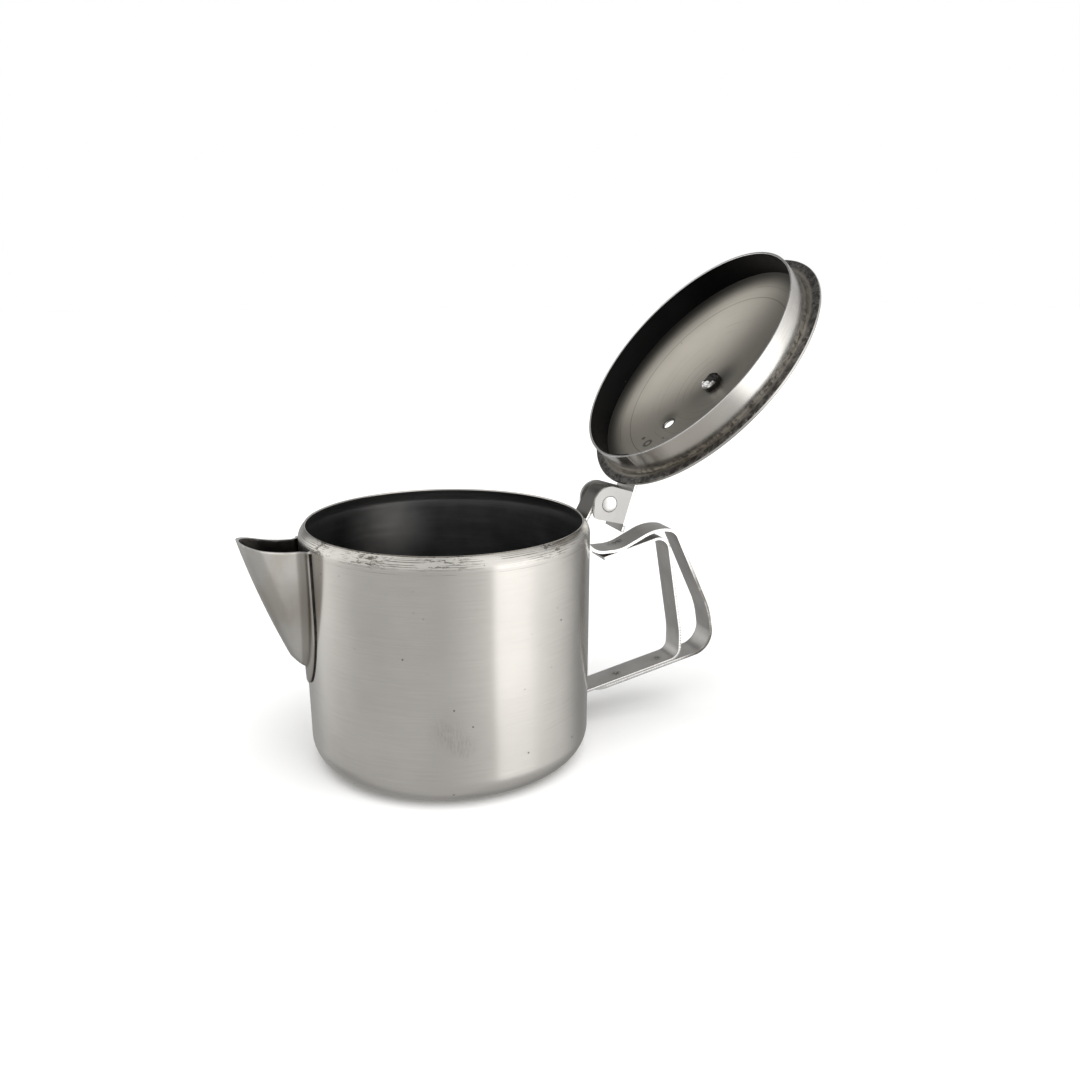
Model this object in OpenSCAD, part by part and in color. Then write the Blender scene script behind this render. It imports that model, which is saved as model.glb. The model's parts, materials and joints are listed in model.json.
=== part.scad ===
// Small all-steel cafe teapot with a hinged lid, a strip handle and a folded spout.
// Frame: origin at the centre of the base, +Z up, handle towards +X, spout towards -X.
// The lid is drawn standing open at its limit; turning it about -Y closes it.

/* [Pot] */
// Outer radius of the round body
body_r = 45; // [44.8:0.1:45.2]
// Height of the mouth above the table
body_h = 77; // [76.5:0.1:77.2]
// Sheet thickness of the deep-drawn body
body_wall = 0.7; // [0.5:0.1:1.2]
// Outer radius of the corner between base and side
base_corner_r = 8.5; // [6:0.5:9]
// Radius of the rolled shoulder below the mouth
shoulder_r = 5; // [4:0.5:6]
// Inner radius of the mouth
mouth_r = 42.5; // [42.3:0.1:43]
// Diameter of one strainer hole behind the spout
strainer_d = 2.2; // [1.5:0.1:2.6]

/* [Spout] */
// How far the tip reaches from the pot's axis
spout_reach = 63.2; // [60:0.2:66]
// Height of the tip above the table
spout_tip_z = 77; // [75:0.5:79]
// Half of the spout's opening where it meets the body
spout_half_w = 8.5; // [7:0.25:10]
// Width of the flange that lies on the body
spout_flange_w = 2.8; // [2:0.1:4]
// Sheet thickness of the spout
spout_wall = 0.8; // [0.6:0.1:1.2]

/* [Handle] */
// Width of both handle strips
strip_w = 9.5; // [8:0.25:12]
// Thickness of both handle strips
strip_t = 1; // [0.8:0.05:1.1]

/* [Hinge] */
// Distance of the hinge pin from the pot's axis
pin_x = 53.5; // [53.3:0.1:54]
// Height of the hinge pin above the table
pin_z = 78.3; // [78.1:0.1:78.6]
// Diameter of the pin's barrel inside the rolled eye
barrel_d = 7.1; // [6.5:0.1:7.3]
// Diameter of the pin's two ends
pin_d = 5.2; // [4:0.1:5.6]
// Gap around each pin end, on the radius
pin_play = 0.08; // [0.05:0.01:0.1]
// Gap between the rolled eye and each ear
ear_gap = 0.3; // [0.2:0.05:0.5]
// Sheet thickness of the lid's hinge bracket
bracket_t = 1; // [0.8:0.1:1.2]
// Angle from closed to fully open
open_angle = 131; // [100:1:131]

/* [Lid] */
// Outer radius of the lid's rim
rim_r = 45.9; // [45.5:0.1:46.2]
// Sheet thickness of the lid
lid_wall = 0.7; // [0.5:0.1:0.9]
// Rise of the dome above the rim
dome_rise = 7.4; // [7.2:0.1:7.6]
// Outer radius of the skirt ring that drops into the mouth
skirt_r = 41.6; // [41.2:0.1:41.7]
// Depth of the skirt ring below the rim
skirt_depth = 8.3; // [6:0.1:8.5]
// Diameter of the steam vent
vent_d = 4; // [2:0.1:4.4]
// Distance of the vent from the lid's centre
vent_r = 19.3; // [16:0.1:22]
// Angle of the vent from the hinge side, about the lid's axis
vent_turn = 15; // [0:1:20]
// Height of the knob above the dome
knob_h = 12.5; // [11:0.5:14]
// Largest diameter of the knob
knob_d = 15; // [13:0.5:18]
// Diameter of the rivet's head, seen inside the lid
stud_d = 7; // [6:0.1:7.6]

/* [Hidden] */

$fn = 96;
steel = "#b4b2ac";
strip_steel = "#96948e";
bright_steel = "#dcdcda";

// Steps of the curved outlines, in degrees
arc_step = 6;
fine_step = 0.8;

// Pot: height where the shoulder begins to roll in, and the rows of strainer holes
shoulder_z = body_h - sqrt(pow(shoulder_r, 2) - pow(mouth_r - body_r + shoulder_r, 2));
strainer_rows = 6;
strainer_pitch = 4.2;
strainer_low_z = 44;

// Spout: the keel leaves the body at keel_low_z and is rounded up to its heel; above that it leans
// out to the tip and bows a little; the flange ends lower, at flange_low_z
flange_low_z = 29.5;
keel_low_z = 34.5;
heel_z = 39;
keel_lean = 0.253;
keel_bow = 0.0023;
lip_z = 72.8;
// The sheet lies this far off the body
weld_gap = 0.02;
spout_rows = 26;
nose_steps = 8;
flange_steps = 4;
side_points = nose_steps + flange_steps + 1;
spout_base_x = body_r + weld_gap + spout_wall;

// Hinge: the eye is the rolled upper end of the outer strip
eye_line_r = barrel_d / 2 + 0.05 + strip_t / 2;
eye_end = -115;
lean = 29;
eye_leave = [pin_x - eye_line_r * cos(lean), pin_z + eye_line_r * sin(lean)];
ear_in = strip_w / 2 + ear_gap;
ear_out = ear_in + bracket_t;
pin_end = ear_out + 0.1;

// Handle: centre lines as corners [x, z, bend radius], seen from the side
strip_x = body_r + strip_t / 2;
s_low_z = 61.8;
leg_angle = 12;
leg_end = [50, 12.2];
outer_corners = [[eye_leave[0], eye_leave[1], 0],
                 [strip_x, eye_leave[1] - (eye_leave[0] - strip_x) / tan(lean), 3],
                 [strip_x, s_low_z, 7.2], [58.6, s_low_z, 14], [71.9, 68, 15], [79.3, 66.7, 5],
                 [94, 36.5, 30], [96.6, leg_z(96.6, 0), 7.5], [leg_end[0], leg_end[1], 0]];
inner_corners = [[52.5, 59.6, 0], [76.2, 65.5, 4.5], [82.9, 29.6, 30],
                 [83.1, leg_z(83.1, strip_t), 4], [strip_x, leg_z(strip_x, strip_t), 2.5],
                 [strip_x, 5.5, 0]];

// Lid, drawn closed about the pot's axis and then turned open
rim_z = body_h + 0.3;
dome_r = 42.6;
dome_top_z = rim_z + lid_wall + dome_rise;
dome_ball_r = (pow(dome_r, 2) + pow(dome_rise, 2)) / (2 * dome_rise);
dome_centre = [0, dome_top_z - dome_ball_r];
hem_r = 0.65;
seam_angle = -18;
seam_overlap = 14;
shank_d = 4.2;
stud_drop = 2.1;
// The dome curves away under the head, so its flat back sits this far below the dome's middle
stud_seat = 0.07;

// Bracket corners in x and z, measured from the pin's axis with the lid closed
web_low = [-8.4, 5];
web_high = [1.6, 9.5];
web_slope = (web_high[1] - web_low[1]) / (web_high[0] - web_low[0]);
web_drop = bracket_t * sqrt(1 + pow(web_slope, 2));
ear_heel = [6.9, -1.3, 1.8];
ear_toe = [-2.5, -8.8, 5.5];
tail_x = 4.2;
tongue_in_x = 26;
tongue_out_x = 38.9;

// ---- outlines ----

function flat(p) = [p[0], p[1]];
function unit(v) = v / norm(v);
function reverse(p) = [for (i = [len(p) - 1:-1:0]) p[i]];

function arc(c, r, a0, a1, step = arc_step) = let(n = max(1, ceil(abs(a1 - a0) / step)))
    [for (k = [0:n]) let(a = a0 + (a1 - a0) * k / n) c + r * [cos(a), sin(a)]];

// Height of the handle's lower leg at x, lifted off the outer strip's centre line
function leg_z(x, lift) = leg_end[1] + (x - leg_end[0]) * tan(leg_angle) + lift / cos(leg_angle);

// The arc of radius b[2] that rounds the corner b between a and c
function bend(a, b, c) = let(u = unit(flat(a) - flat(b)), v = unit(flat(c) - flat(b)),
    half = acos(u * v) / 2, centre = flat(b) + unit(u + v) * b[2] / sin(half),
    p = flat(b) + u * b[2] / tan(half) - centre, q = flat(b) + v * b[2] / tan(half) - centre,
    a0 = atan2(p[1], p[0]), turn = atan2(q[1], q[0]) - a0,
    short = turn > 180 ? turn - 360 : turn < -180 ? turn + 360 : turn)
    arc(centre, b[2], a0, a0 + short);

function centre_line(c) = [for (i = [0:len(c) - 1])
    each i == 0 || i == len(c) - 1 ? [flat(c[i])] : bend(c[i - 1], c[i], c[i + 1])];

// Point i of a centre line, moved d to its left
function beside(p, i, d) = let(last = len(p) - 1,
    t = unit(p[min(i + 1, last)] - p[max(i - 1, 0)])) p[i] + d * [-t[1], t[0]];

module strip_outline(p) {
    last = len(p) - 1;
    polygon(concat([for (i = [0:last]) beside(p, i, strip_t / 2)],
                   [for (i = [last:-1:0]) beside(p, i, -strip_t / 2)]));
}

// Turns an outline drawn in x and z into a plate between two values of y
module plate(y0, y1) {
    translate([0, y1, 0]) rotate([90, 0, 0]) linear_extrude(y1 - y0) children();
}

module pin_along_y(d, y0, y1) {
    translate([pin_x, y1, pin_z]) rotate([90, 0, 0]) cylinder(d = d, h = y1 - y0);
}

// ---- pot ----

function body_side(inset) = concat(
    arc([body_r - base_corner_r, base_corner_r], base_corner_r - inset, -90, 0),
    arc([body_r - shoulder_r, shoulder_z], shoulder_r - inset, 0,
        acos((mouth_r - body_r + shoulder_r) / (shoulder_r - inset))));

module body_shell() {
    color(steel)
    difference() {
        rotate_extrude()
        polygon(concat([[0, 0]], body_side(0), reverse(body_side(body_wall)), [[0, body_wall]]));
        strainer_holes();
    }
}

module strainer_holes() {
    for (row = [0:strainer_rows - 1])
        for (k = [0:1 + row % 2])
            rotate([0, 0, (k - (1 + row % 2) / 2) * strainer_pitch / body_r * 180 / PI])
            translate([-body_r - 1, 0, strainer_low_z + row * strainer_pitch])
            rotate([0, 90, 0])
            cylinder(d = strainer_d, h = 3, $fn = 32);
}

// ---- spout: one folded sheet, described by its keel and its widths at each height ----

function keel_line(z) = let(drop = spout_tip_z - z) spout_reach - drop * (keel_lean + keel_bow * drop);
function keel_x(z) =
    z >= heel_z ? keel_line(z)
    : z >= keel_low_z ? spout_base_x + (keel_line(heel_z) - spout_base_x)
        * pow((z - keel_low_z) / (heel_z - keel_low_z), 0.7)
    : spout_base_x;
function open_half(z) = let(f = min(1, max(0, z - keel_low_z) / 32))
    1.2 + (spout_half_w - 1.2) * pow(f * (2 - f), 0.8);
function flange_half(z) = let(f = min(1, (z - flange_low_z + 0.4) / 24))
    (spout_half_w + spout_flange_w) * sqrt(f * (2 - f));
function lip_height(x) = lip_z + (spout_tip_z - lip_z) * pow(max(0, x - 46) / (spout_reach - 46), 2.2);

// Reach and half width of the sheet at height z; i runs from the keel to the flange's edge,
// and inset is 0 for the outer face and the sheet thickness for the inner one
function sheet_point(i, z, inset) = let(
    half = open_half(z) - inset, reach = keel_x(z) - inset, r = spout_base_x - inset,
    wall_x = sqrt(r * r - half * half), depth = max(0, reach - wall_x),
    nose = depth * (0.8 - 0.45 * min(1, depth / 17)))
    i < nose_steps ? let(a = 90 * i / (nose_steps - 1)) [reach - nose * (1 - cos(a)), half * sin(a)]
    : let(y = half + (flange_half(z) - half) * (i - nose_steps) / flange_steps) [sqrt(r * r - y * y), y];

function spout_vertex(i, row, inset) = let(
    top = lip_height(sheet_point(abs(i), lip_z, inset)[0]),
    z = flange_low_z + (top - flange_low_z) * row / spout_rows,
    p = sheet_point(abs(i), z, inset))
    [-p[0], i < 0 ? -p[1] : p[1], z];

module spout() {
    edge = side_points - 1;
    ring = 2 * side_points - 1;
    loop = 2 * ring;
    points = [for (row = [0:spout_rows]) each concat(
        [for (i = [-edge:edge]) spout_vertex(i, row, 0)],
        [for (i = [edge:-1:-edge]) spout_vertex(i, row, spout_wall)])];
    walls = [for (row = [0:spout_rows - 1]) for (i = [0:loop - 1])
        let(a = row * loop + i, b = row * loop + (i + 1) % loop)
        each [[a, a + loop, b], [b, a + loop, b + loop]]];
    caps = [for (i = [0:ring - 2]) let(a = i, b = i + 1, c = loop - 2 - i, d = loop - 1 - i,
        t = spout_rows * loop)
        each [[a, b, d], [b, c, d], [t + b, t + a, t + d], [t + c, t + b, t + d]]];
    color(steel)
    polyhedron(points, concat(walls, caps), convexity = 6);
}

// ---- handle: two bent strips, welded together at the top and along the lower leg ----

module handle_outer_strip() {
    color(strip_steel)
    difference() {
        plate(-strip_w / 2, strip_w / 2) strip_outline(concat(rolled_eye(), centre_line(outer_corners)));
        round_end(leg_end);
    }
}

// Centre line of the eye, from its free end to just short of where the strip leaves it
function rolled_eye() = arc([pin_x, pin_z], eye_line_r, eye_end, 180 - lean - arc_step);

// Cuts the end of the outer strip to a half circle
module round_end(end) {
    translate([end[0] + strip_w / 2, 0, end[1] - 5])
    difference() {
        translate([-strip_w, -strip_w, 0]) cube([strip_w, 2 * strip_w, 10]);
        cylinder(d = strip_w, h = 10);
    }
}

module handle_inner_strip() {
    color(strip_steel)
    plate(-strip_w / 2, strip_w / 2) strip_outline(centre_line(inner_corners));
}

module hinge_pin() {
    color(bright_steel) {
        pin_along_y(barrel_d, -strip_w / 2, strip_w / 2);
        pin_along_y(pin_d, -pin_end, pin_end);
    }
}

// ---- lid ----

module opened() {
    translate([pin_x, 0, pin_z]) rotate([0, open_angle, 0]) translate([-pin_x, 0, -pin_z]) children();
}

// Arc of the dome between two radii, offset outwards
function dome_arc(r0, r1, offset) = let(r = dome_ball_r + offset)
    arc(dome_centre, r, acos(r0 / r), acos(r1 / r), fine_step);

module lid_shell() {
    color(steel)
    opened()
    difference() {
        rotate_extrude()
        polygon(concat(dome_arc(0, dome_r, 0),
            reverse(arc([rim_r - hem_r, rim_z + hem_r], hem_r, -90, 172, 24)),
            [[dome_r, rim_z]], dome_arc(dome_r - 0.3, 0, -lid_wall)));
        rotate([0, 0, vent_turn]) translate([vent_r, 0, rim_z]) cylinder(d = vent_d, h = 2 * dome_rise);
        translate([0, 0, rim_z]) cylinder(d = shank_d + 0.2, h = 2 * dome_rise);
    }
}

module lid_skirt_ring() {
    color(bright_steel)
    opened() {
        rotate_extrude()
        polygon(concat([[skirt_r - lid_wall, rim_z - skirt_depth], [skirt_r, rim_z - skirt_depth]],
            dome_arc(skirt_r, skirt_r - lid_wall, -lid_wall)));
        // The strip's end laps over its start on the inside
        rotate([0, 0, seam_angle])
        rotate_extrude(angle = seam_overlap)
        translate([skirt_r - 2 * lid_wall, rim_z - skirt_depth]) square([lid_wall * 1.5, skirt_depth - 0.4]);
    }
}

function web_z(x) = pin_z + web_low[1] + (x - pin_x - web_low[0]) * web_slope;

module lid_hinge_bracket() {
    color(strip_steel)
    opened()
    difference() {
        union() {
            tongue();
            plate(-ear_out, ear_out) web_outline();
            plate(ear_in, ear_out) ear_outline();
            plate(-ear_out, -ear_in) ear_outline();
        }
        pin_along_y(pin_d + 2 * pin_play, -2 * ear_out, 2 * ear_out);
    }
}

module tongue() {
    intersection() {
        rotate_extrude()
        polygon(concat(dome_arc(tongue_in_x - 2, tongue_out_x, 0.01),
            dome_arc(tongue_out_x, tongue_in_x - 2, bracket_t)));
        union() {
            translate([tongue_in_x + ear_out, 0, rim_z]) cylinder(r = ear_out, h = 10);
            translate([tongue_in_x + ear_out, -ear_out, rim_z]) cube([20, 2 * ear_out, 10]);
        }
    }
}

module web_outline() {
    x0 = tongue_out_x - 0.6;
    x1 = pin_x + tail_x;
    polygon([[x0, web_z(x0)], [x1, web_z(x1)], [x1, web_z(x1) - web_drop],
             [tongue_out_x + 1.2, web_z(tongue_out_x + 1.2) - web_drop]]);
}

module ear_outline() {
    translate([pin_x, pin_z])
    polygon(concat([web_low, web_high], bend(web_high, ear_heel, ear_toe),
                   bend(ear_heel, ear_toe, web_low)));
}

module lid_knob() {
    edge_r = 1.6;
    cap_low = knob_h - 6.5;
    color(bright_steel)
    opened()
    translate([0, 0, dome_top_z])
    difference() {
        rotate_extrude()
        polygon(concat([[0, 0], [4.6, 0], [4.6, 0.8]],
            arc([4.6, 2.4], 1.6, 270, 180, 15),
            arc([5, cap_low - 2], 2, 180, 90, 15),
            arc([knob_d / 2 - edge_r, cap_low + edge_r], edge_r, -90, 50, 15),
            [[knob_d / 4, knob_h - 0.7], [0, knob_h]]));
        translate([0, 0, -1]) cylinder(d = shank_d + 0.1, h = 8);
    }
}

module knob_rivet() {
    color(bright_steel)
    opened() {
        translate([0, 0, dome_top_z - lid_wall - 0.3]) cylinder(d = shank_d, h = 7);
        // Its head, with the hammered end below
        translate([0, 0, dome_top_z - lid_wall - stud_seat - stud_drop]) {
            cylinder(d = stud_d, h = stud_drop);
            translate([0, 0, -0.45]) cylinder(d1 = stud_d - 1.4, d2 = stud_d, h = 0.45);
        }
    }
}

body_shell();
spout();
handle_outer_strip();
handle_inner_strip();
hinge_pin();
lid_shell();
lid_skirt_ring();
lid_hinge_bracket();
lid_knob();
knob_rivet();
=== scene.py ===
"""A small all-steel cafe teapot, its hinged lid standing open, in soft studio light.

Outlines are in millimetres, as on a drawing, and make_object turns them into metres.
Pieces of the lid are made lying closed, about the lid's own axis, and then placed open.
"""

import json
import math

import bmesh
import bpy
import numpy as np
from mathutils import Matrix, Vector, noise


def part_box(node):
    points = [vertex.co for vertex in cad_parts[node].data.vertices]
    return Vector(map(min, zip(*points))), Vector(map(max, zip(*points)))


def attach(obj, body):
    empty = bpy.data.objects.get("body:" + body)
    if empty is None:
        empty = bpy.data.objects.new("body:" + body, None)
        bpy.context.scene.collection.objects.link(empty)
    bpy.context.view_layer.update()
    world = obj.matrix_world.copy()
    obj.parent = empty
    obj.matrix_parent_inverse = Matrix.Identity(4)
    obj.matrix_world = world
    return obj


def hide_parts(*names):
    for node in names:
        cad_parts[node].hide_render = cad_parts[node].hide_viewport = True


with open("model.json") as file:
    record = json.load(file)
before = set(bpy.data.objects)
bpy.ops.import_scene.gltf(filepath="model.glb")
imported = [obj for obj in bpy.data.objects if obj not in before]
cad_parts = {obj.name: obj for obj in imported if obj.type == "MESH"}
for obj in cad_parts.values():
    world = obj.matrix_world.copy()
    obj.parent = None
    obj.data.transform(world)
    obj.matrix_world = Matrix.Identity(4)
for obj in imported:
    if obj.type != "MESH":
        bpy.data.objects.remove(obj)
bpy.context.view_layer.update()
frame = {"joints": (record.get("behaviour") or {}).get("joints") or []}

MM = 0.001


def box_mm(node):
    """Lowest and highest corner of a CAD node, in millimetres."""
    low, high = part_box(node)
    return np.array(low) / MM, np.array(high) / MM


# ---- sizes, most of them read from the frame ----

BODY_R = box_mm("body_shell")[1][0]
BODY_H = box_mm("body_shell")[1][2]
BODY_WALL = 0.7
BASE_CORNER_R = 8.5
SHOULDER_R = 5.0
MOUTH_R = 42.5
STRAINER_D = 2.2
STRAINER_ROWS = 6
STRAINER_PITCH = 4.2
STRAINER_LOW_Z = 44.0

SPOUT_REACH = -box_mm("spout")[0][0]
SPOUT_TIP_Z = box_mm("spout")[1][2]
SPOUT_HALF_W = 8.0
SPOUT_FLANGE_W = 2.8
SPOUT_WALL = 0.8
FLANGE_LOW_Z = box_mm("spout")[0][2]
KEEL_LOW_Z = 34.5
HEEL_Z = 39.0
KEEL_LEAN = 0.253
KEEL_BOW = 0.0023
LIP_Z = 72.8
SPOUT_BASE_X = BODY_R + 0.02 + SPOUT_WALL
EDGE_THINNED = 0.36

STRIP_W = 2 * box_mm("handle_inner_strip")[1][1]
STRIP_T = 1.0
STRIP_X = BODY_R + STRIP_T / 2
LEG_END = (50.0, 12.2)
LEG_SLOPE = math.tan(math.radians(12))

HINGE = frame["joints"][0]
PIN_X, _, PIN_Z = (value / MM for value in HINGE["pos_m"])
OPEN_ANGLE = -HINGE["range_deg"][0]
PIN_END = box_mm("hinge_pin")[1][1]
BARREL_R = 3.55
PIN_R = 2.6
EAR_HOLE_R = 2.68
EYE_R = BARREL_R + 0.05 + STRIP_T / 2
EYE_LEAN = 29.0
BRACKET_T = 1.0
EAR_OUT = box_mm("lid_hinge_bracket")[1][1]
EAR_IN = EAR_OUT - BRACKET_T

RIM_R = box_mm("lid_shell")[1][1]
RIM_Z = BODY_H + 0.3
LID_WALL = 0.7
DOME_R = 42.6
DOME_RISE = 7.4
DOME_BALL_R = (DOME_R ** 2 + DOME_RISE ** 2) / (2 * DOME_RISE)
DOME_TOP = LID_WALL + DOME_RISE
HEM_R = 0.65
SKIRT_R = 41.6
SKIRT_DEPTH = 8.3
SEAM_ANGLE = -18.0
SEAM_OVERLAP = 14.0
VENT_R = 19.3
VENT_TURN = 15.0
VENT_D = 4.0
KNOB_H = 12.5
KNOB_D = 15.0
STUD_R = 3.5
STUD_DROP = 2.5
SHANK_R = 2.1
HAMMER_SEED = 7


def lid_place():
    """Takes the lid's own frame, closed, with its rim at height 0, to where the lid stands open."""
    pin = Matrix.Translation(Vector((PIN_X, 0, PIN_Z)) * MM)
    turn = Matrix.Rotation(math.radians(OPEN_ANGLE), 4, "Y")
    return pin @ turn @ pin.inverted() @ Matrix.Translation((0, 0, RIM_Z * MM))


# ---- outlines ----

def arc(centre, radius, start, end, step=3.0):
    """Points on an arc, with its angles in degrees."""
    count = max(1, math.ceil(abs(end - start) / step))
    angle = np.radians(np.linspace(start, end, count + 1))
    return np.column_stack([centre[0] + radius * np.cos(angle), centre[1] + radius * np.sin(angle)])


def unit(vector):
    return vector / np.linalg.norm(vector)


def bend(before, corner, after, radius, step=1.0):
    """The arc that rounds a corner between its two neighbours."""
    u, v = unit(before - corner), unit(after - corner)
    half = math.acos(float(np.clip(u @ v, -1, 1))) / 2
    centre = corner + unit(u + v) * radius / math.sin(half)
    first, last = (corner + w * radius / math.tan(half) - centre for w in (u, v))
    start = math.degrees(math.atan2(first[1], first[0]))
    turn = (math.degrees(math.atan2(last[1], last[0])) - start + 180) % 360 - 180
    return arc(centre, radius, start, start + turn, step)


def centre_line(corners):
    """A line through corners (x, z, bend radius), from the first to the last."""
    points = [np.array(c[:2], float) for c in corners]
    parts = [points[:1]]
    for i in range(1, len(points) - 1):
        parts.append(bend(points[i - 1], points[i], points[i + 1], corners[i][2]))
    parts.append(points[-1:])
    return np.vstack(parts)


def resample(line, spacing):
    """The same line with evenly spaced points."""
    along = np.concatenate([[0], np.cumsum(np.hypot(*np.diff(line, axis=0).T))])
    at = np.linspace(0, along[-1], max(2, round(along[-1] / spacing)) + 1)
    return np.column_stack([np.interp(at, along, line[:, k]) for k in (0, 1)])


def dome_z(r, offset=0.0):
    """Height of the dome, or of a surface offset from it, above the rim."""
    return DOME_TOP - DOME_BALL_R + np.sqrt((DOME_BALL_R + offset) ** 2 - np.square(r))


def vent_place():
    turn = math.radians(VENT_TURN)
    return VENT_R * math.cos(turn), VENT_R * math.sin(turn)


def leg_z(x, lift):
    """Height of the handle's lower leg, lifted off the outer strip's centre line."""
    return LEG_END[1] + (x - LEG_END[0]) * LEG_SLOPE + lift * math.hypot(1, LEG_SLOPE)


# ---- meshes ----

def tube_faces(rows, columns):
    """Quads between closed rows of points, stored row after row."""
    return [(r * columns + c, r * columns + (c + 1) % columns,
             (r + 1) * columns + (c + 1) % columns, (r + 1) * columns + c)
            for r in range(rows - 1) for c in range(columns)]


def make_object(name, points, faces, kinds=None, uv=None):
    """A mesh object from points in millimetres; kinds is a material index for each face."""
    mesh = bpy.data.meshes.new(name)
    mesh.from_pydata((np.asarray(points) * MM).tolist(), [], faces)
    if kinds is not None:
        mesh.polygons.foreach_set("material_index", np.asarray(kinds, np.int32))
    if uv is not None:
        loops = np.zeros(len(mesh.loops), np.int32)
        mesh.loops.foreach_get("vertex_index", loops)
        layer = mesh.uv_layers.new(name="brushed")
        layer.data.foreach_set("uv", np.asarray(uv, np.float32)[loops].ravel())
    work = bmesh.new()
    work.from_mesh(mesh)
    bmesh.ops.remove_doubles(work, verts=work.verts, dist=1e-7)
    bmesh.ops.recalc_face_normals(work, faces=work.faces)
    work.to_mesh(mesh)
    work.free()
    made = bpy.data.objects.new(name, mesh)
    bpy.context.scene.collection.objects.link(made)
    return made


def lathe(name, outline, segments=192, kinds=None, closed=False, shape=None):
    """Turns an outline (radius, height) about Z. shape may move the points once they are made."""
    outline = np.asarray(outline, float)
    rows = np.vstack([outline, outline[:1]]) if closed else outline
    angle = np.arange(segments) * 2 * math.pi / segments
    points = np.stack([np.outer(rows[:, 0], np.cos(angle)), np.outer(rows[:, 0], np.sin(angle)),
                       np.repeat(rows[:, 1:], segments, axis=1)], axis=-1).reshape(-1, 3)
    if shape is not None:
        points = shape(points)
    face_kinds = None if kinds is None else np.repeat(kinds, segments)
    return make_object(name, points, tube_faces(len(rows), segments), face_kinds)


def sweep_strip(name, line, width, thickness, round_start=False, round_end=False, marks=(), across=18):
    """A flat strip along a line in x and z. Its two broad faces are kind 0 and its cut edges kind 1.

    marks are spot welds (x, z, y, depth): a shallow dimple in whichever face is nearer to the point.
    """
    step = np.gradient(line, axis=0)
    step /= np.linalg.norm(step, axis=1)[:, None]
    side = np.column_stack([-step[:, 1], step[:, 0]])
    along = np.concatenate([[0], np.cumsum(np.hypot(*np.diff(line, axis=0).T))])
    half = np.full(len(line), width / 2)
    for use, distance in ((round_start, along), (round_end, along[-1] - along)):
        if use:
            inside = np.clip(width / 2 - distance, 0, width / 2 - 0.05)
            half = np.minimum(half, np.sqrt((width / 2) ** 2 - inside ** 2))
    share = np.linspace(-1, 1, across + 1)
    points, uv = [], []
    for sign, shares in ((1, share), (-1, share[::-1])):
        centre = line + side * sign * thickness / 2
        y = half[:, None] * shares
        depth = np.zeros_like(y)
        for x, z, at_y, deep in marks:
            gap = np.sqrt(((centre - (x, z)) ** 2).sum(axis=1)[:, None] + (y - at_y) ** 2)
            depth += deep * (np.exp(-(gap / 0.9) ** 2) - 0.35 * np.exp(-((gap - 1.7) / 0.4) ** 2))
        x = centre[:, :1] - side[:, :1] * sign * depth
        z = centre[:, 1:] - side[:, 1:] * sign * depth
        points.append(np.stack([x, y, z], axis=-1))
        reached = np.repeat(along[:, None], across + 1, axis=1)
        uv.append(np.stack([reached, y + sign * thickness / 2], axis=-1))
    points, uv = np.concatenate(points, axis=1), np.concatenate(uv, axis=1)
    rows, ring = points.shape[:2]
    faces = tube_faces(rows, ring)
    kinds = [1 if i % ring in (across, ring - 1) else 0 for i in range(len(faces))]
    faces += [tuple(range(ring)), tuple(range((rows - 1) * ring, rows * ring))]
    return make_object(name, points.reshape(-1, 3), faces, kinds + [1, 1], uv.reshape(-1, 2) / 10)


def plate(name, outline, y0, y1):
    """A flat plate with an outline in x and z, between two values of y."""
    count = len(outline)
    points = [(x, y, z) for y in (y0, y1) for x, z in outline]
    faces = [tuple(range(count)), tuple(range(count, 2 * count))]
    faces += [(i, (i + 1) % count, count + (i + 1) % count, count + i) for i in range(count)]
    return make_object(name, points, faces, [0, 0] + [1] * count)


def rod(radius, start, end, segments=48, kind=0):
    """A plain rod between two points, for cutting holes whose walls are of that kind."""
    start, end = Vector(start), Vector(end)
    turn = (end - start).to_track_quat("Z", "Y").to_matrix()
    points, faces = [], [tuple(range(segments)), tuple(range(segments, 2 * segments))]
    for centre in (start, end):
        for i in range(segments):
            angle = 2 * math.pi * i / segments
            points.append(centre + turn @ Vector((radius * math.cos(angle), radius * math.sin(angle), 0)))
    faces += [(i, (i + 1) % segments, segments + (i + 1) % segments, segments + i) for i in range(segments)]
    return make_object("cutter", points, faces, [kind] * len(faces))


def settle(obj):
    """Applies an object's modifiers."""
    evaluated = obj.evaluated_get(bpy.context.evaluated_depsgraph_get())
    old, obj.data = obj.data, bpy.data.meshes.new_from_object(evaluated)
    obj.modifiers.clear()
    obj.data.name = obj.name
    bpy.data.meshes.remove(old)


def combine(obj, others, operation):
    """Cuts the others from an object, or joins them to it, and removes them."""
    for other in others:
        modifier = obj.modifiers.new("cut", "BOOLEAN")
        modifier.operation = operation
        modifier.solver = "EXACT"
        modifier.object = other
        modifier.material_mode = "INDEX"
    settle(obj)
    for other in others:
        bpy.data.objects.remove(other)


def bevel(obj, width, kind, angle=40.0):
    """Rounds an object's sharp edges. kind is the material index of the rounded edge."""
    modifier = obj.modifiers.new("rounded", "BEVEL")
    modifier.width = width * MM
    modifier.segments = 2
    modifier.limit_method = "ANGLE"
    modifier.angle_limit = math.radians(angle)
    modifier.harden_normals = True
    modifier.material = kind
    settle(obj)


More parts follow.
